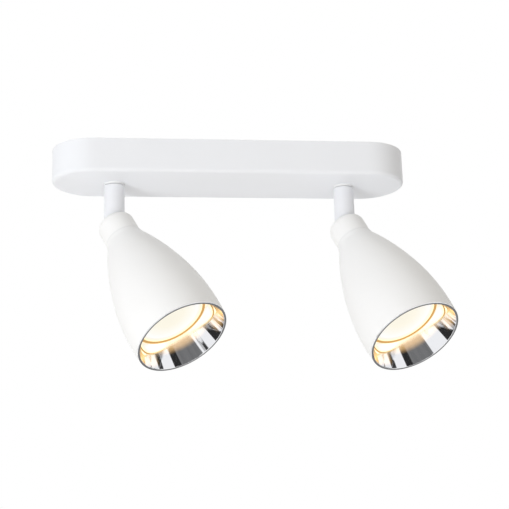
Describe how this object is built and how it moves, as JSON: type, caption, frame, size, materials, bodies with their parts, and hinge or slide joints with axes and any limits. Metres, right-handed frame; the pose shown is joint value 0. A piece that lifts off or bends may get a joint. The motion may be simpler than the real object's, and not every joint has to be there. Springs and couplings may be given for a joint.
{
  "type": "pivoting spotlight wall light",
  "caption": "Oblong white base with bullet-shaped spotlight heads, each on a stem that swivels and a hidden hinge that tilts.",
  "frame": {"origin": "centre of the mounting face, midway between the two fixing slots", "axes": "+X along the base, +Z out of the mounting face towards the wall or ceiling, so that the lamps hang towards -Z"},
  "size_m": [0.281, 0.1144, 0.1694],
  "materials": {
    "base_white": "matt white powder coat",
    "stem_white": "satin white paint",
    "head_white": "matt white powder coat",
    "screw_white": "painted screw heads",
    "bush_nylon": "white nylon",
    "zinc_steel": "bright zinc plate",
    "brass": "plain brass",
    "block_plastic": "natural nylon",
    "grommet_rubber": "grey rubber",
    "ring_chrome": "bright chrome",
    "ceramic": "unglazed steatite",
    "lamp_glass": "mirror-coated glass bowl",
    "lamp_lens": "lit front glass"
  },
  "bodies": {
    "base": {"base_cover": "base_white", "block_screw": "zinc_steel", "cable_grommet": "grommet_rubber", "cover_screw_left": "screw_white", "cover_screw_right": "screw_white", "earth_screw": "brass", "mounting_bracket": "zinc_steel", "stop_pin_left": "zinc_steel", "stop_pin_right": "zinc_steel", "swivel_bush_left": "bush_nylon", "swivel_bush_right": "bush_nylon", "terminal_block": "block_plastic", "terminal_clamp_one": "brass", "terminal_clamp_three": "brass", "terminal_clamp_two": "brass"},
    "arm_left": {"hinge_pin_left": "zinc_steel", "hinge_washer_front_left": "zinc_steel", "hinge_washer_rear_left": "zinc_steel", "nipple_left": "zinc_steel", "stem_left": "stem_white", "stop_washer_left": "zinc_steel", "swivel_nut_left": "zinc_steel", "swivel_washer_left": "zinc_steel"},
    "head_left": {"collar_left": "head_white", "head_nut_left": "zinc_steel", "head_shell_left": "head_white", "hinge_tongue_left": "zinc_steel", "holder_screw_a_left": "zinc_steel", "holder_screw_b_left": "zinc_steel", "holder_spacer_a_left": "zinc_steel", "holder_spacer_b_left": "zinc_steel", "lamp_base_left": "ceramic", "lamp_bowl_left": "lamp_glass", "lamp_holder_left": "ceramic", "lamp_lens_left": "lamp_lens", "reflector_ring_left": "ring_chrome"},
    "arm_right": {"hinge_pin_right": "zinc_steel", "hinge_washer_front_right": "zinc_steel", "hinge_washer_rear_right": "zinc_steel", "nipple_right": "zinc_steel", "stem_right": "stem_white", "stop_washer_right": "zinc_steel", "swivel_nut_right": "zinc_steel", "swivel_washer_right": "zinc_steel"},
    "head_right": {"collar_right": "head_white", "head_nut_right": "zinc_steel", "head_shell_right": "head_white", "hinge_tongue_right": "zinc_steel", "holder_screw_a_right": "zinc_steel", "holder_screw_b_right": "zinc_steel", "holder_spacer_a_right": "zinc_steel", "holder_spacer_b_right": "zinc_steel", "lamp_base_right": "ceramic", "lamp_bowl_right": "lamp_glass", "lamp_holder_right": "ceramic", "lamp_lens_right": "lamp_lens", "reflector_ring_right": "ring_chrome"}
  },
  "joints": [
    {"name": "swivel_left", "type": "hinge", "parent": "base", "child": "arm_left", "pos_m": [-0.085, 0, -0.025], "axis": [0, 0, 1], "range_deg": [-165, 165]},
    {"name": "tilt_left", "type": "hinge", "parent": "arm_left", "child": "head_left", "pos_m": [-0.085, 0, -0.0547], "axis": [-0.729, -0.6845, 0], "range_deg": [-74.5, 5.5]},
    {"name": "swivel_right", "type": "hinge", "parent": "base", "child": "arm_right", "pos_m": [0.085, 0, -0.025], "axis": [0, 0, 1], "range_deg": [-165, 165]},
    {"name": "tilt_right", "type": "hinge", "parent": "arm_right", "child": "head_right", "pos_m": [0.085, 0, -0.0547], "axis": [-0.8387, -0.5446, 0], "range_deg": [-73.2, 6.8]}
  ]
}
